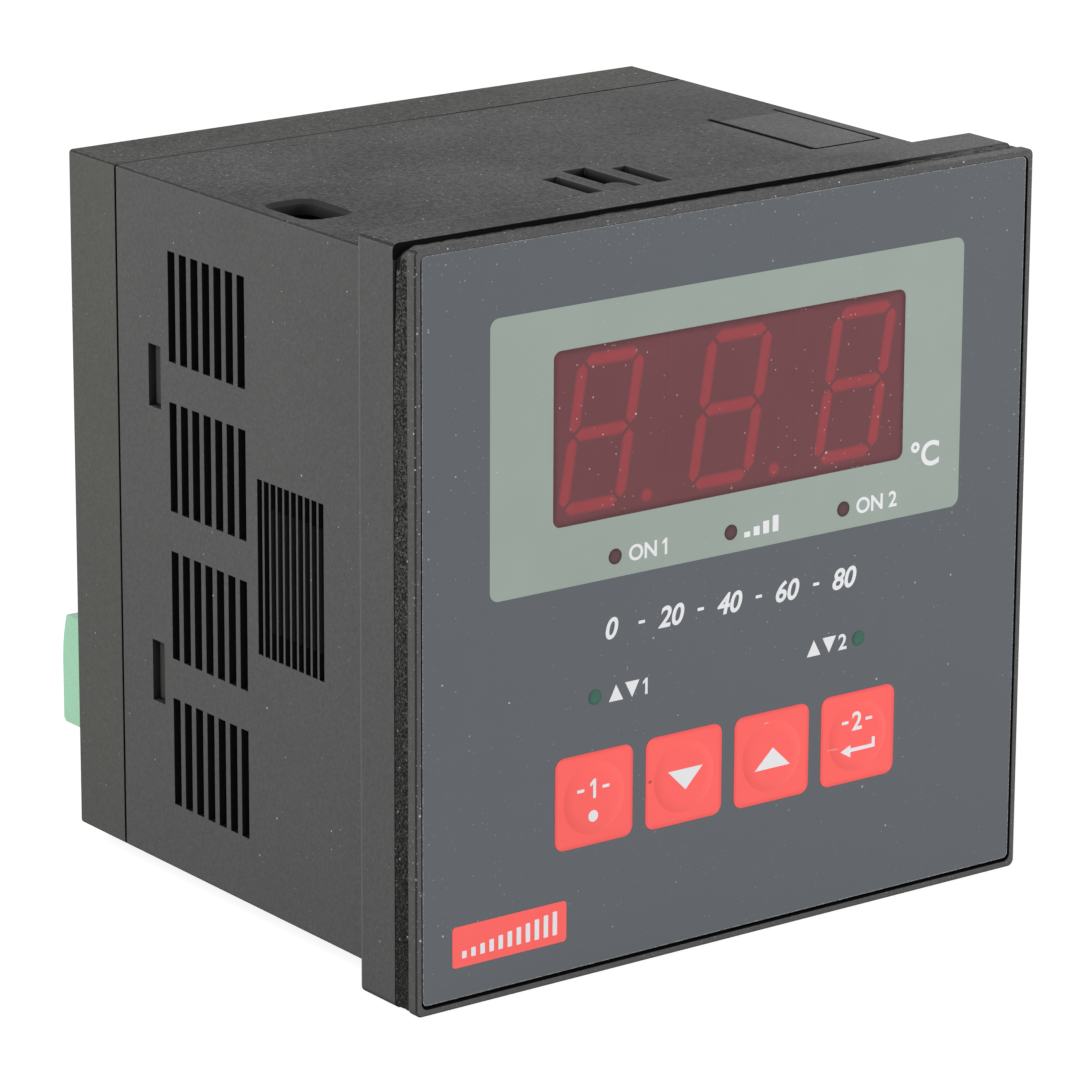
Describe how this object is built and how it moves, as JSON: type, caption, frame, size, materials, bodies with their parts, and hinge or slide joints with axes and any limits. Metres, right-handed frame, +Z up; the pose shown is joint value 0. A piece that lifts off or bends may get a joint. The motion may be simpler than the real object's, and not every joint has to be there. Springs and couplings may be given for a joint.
{
  "type": "panel-mount temperature controller",
  "caption": "Square panel-mount temperature controller with a red numeric display, press keys, a louvred case and plug-in rear terminals.",
  "frame": {"origin": "centre of the panel cut-out, in the plane of the flange face that seats on the panel", "axes": "+Y to the rear, through the panel; +X to the right as seen from the front; +Z up"},
  "size_m": [0.096, 0.0901, 0.096],
  "materials": {
    "case_plastic": "fine matt moulding grain, charcoal",
    "foam": "closed-cell black foam, speckled",
    "overlay_print": "slate grey printed sheet, satin",
    "window_red": "dark red tinted window",
    "digit_housing": "dark red-black moulding",
    "segment_lens": "unlit red lens",
    "lamp_red": "unlit red lamp",
    "lamp_green": "unlit green lamp",
    "key_print": "coral red print, satin",
    "switch_plastic": "black moulding",
    "board": "green solder mask",
    "chip_plastic": "black moulded package",
    "tinned_metal": "tinned metal",
    "core_steel": "laminated steel",
    "bobbin_plastic": "off-white moulding",
    "winding_copper": "enamelled copper wire under tape",
    "relay_plastic": "blue sealed box",
    "can_sleeve": "sleeved aluminium can",
    "terminal_green": "pale green moulding",
    "varistor_epoxy": "blue epoxy"
  },
  "bodies": {
    "housing": {"case": "case_plastic", "digit_left": "digit_housing", "digit_left_segments": "segment_lens", "digit_middle": "digit_housing", "digit_middle_segments": "segment_lens", "digit_right": "digit_housing", "digit_right_segments": "segment_lens", "display_board": "board", "display_board_screws": "tinned_metal", "display_window": "window_red", "front_frame": "case_plastic", "front_gasket": "foam", "front_overlay": "overlay_print", "key_down_switch": "switch_plastic", "key_enter_switch": "switch_plastic", "key_program_switch": "switch_plastic", "key_up_switch": "switch_plastic", "link_header": "switch_plastic", "link_pins": "tinned_metal", "main_board": "board", "mains_fuse": "chip_plastic", "microcontroller": "chip_plastic", "output_lamp_1": "lamp_red", "output_lamp_2": "lamp_red", "power_header": "terminal_green", "power_header_pins": "tinned_metal", "program_lamp": "lamp_red", "rear_cover": "case_plastic", "rectifier": "chip_plastic", "regulator": "chip_plastic", "relay_1": "relay_plastic", "relay_2": "relay_plastic", "sensor_header": "terminal_green", "sensor_header_pins": "tinned_metal", "setpoint_lamp_1": "lamp_green", "setpoint_lamp_2": "lamp_green", "smoothing_capacitor": "can_sleeve", "surge_varistor": "varistor_epoxy", "transformer_bobbin": "bobbin_plastic", "transformer_core": "core_steel", "transformer_winding": "winding_copper"},
    "key_program": {"key_program": "key_print", "key_program_plunger": "switch_plastic"},
    "key_down": {"key_down": "key_print", "key_down_plunger": "switch_plastic"},
    "key_up": {"key_up": "key_print", "key_up_plunger": "switch_plastic"},
    "key_enter": {"key_enter": "key_print", "key_enter_plunger": "switch_plastic"},
    "power_plug": {"power_plug": "terminal_green", "power_plug_clamps": "tinned_metal", "power_plug_screws": "tinned_metal"},
    "sensor_plug": {"sensor_plug": "terminal_green", "sensor_plug_clamps": "tinned_metal", "sensor_plug_screws": "tinned_metal"}
  },
  "joints": [
    {"name": "key_program_press", "type": "slide", "parent": "housing", "child": "key_program", "axis": [0, 1, 0], "range_m": [0, 0.0004], "stiffness_N_per_m": 4000},
    {"name": "key_down_press", "type": "slide", "parent": "housing", "child": "key_down", "axis": [0, 1, 0], "range_m": [0, 0.0004], "stiffness_N_per_m": 4000},
    {"name": "key_up_press", "type": "slide", "parent": "housing", "child": "key_up", "axis": [0, 1, 0], "range_m": [0, 0.0004], "stiffness_N_per_m": 4000},
    {"name": "key_enter_press", "type": "slide", "parent": "housing", "child": "key_enter", "axis": [0, 1, 0], "range_m": [0, 0.0004], "stiffness_N_per_m": 4000},
    {"name": "power_plug_pull", "type": "slide", "parent": "housing", "child": "power_plug", "axis": [0, 1, 0], "range_m": [0, 0.012]},
    {"name": "sensor_plug_pull", "type": "slide", "parent": "housing", "child": "sensor_plug", "axis": [0, 1, 0], "range_m": [0, 0.012]}
  ]
}
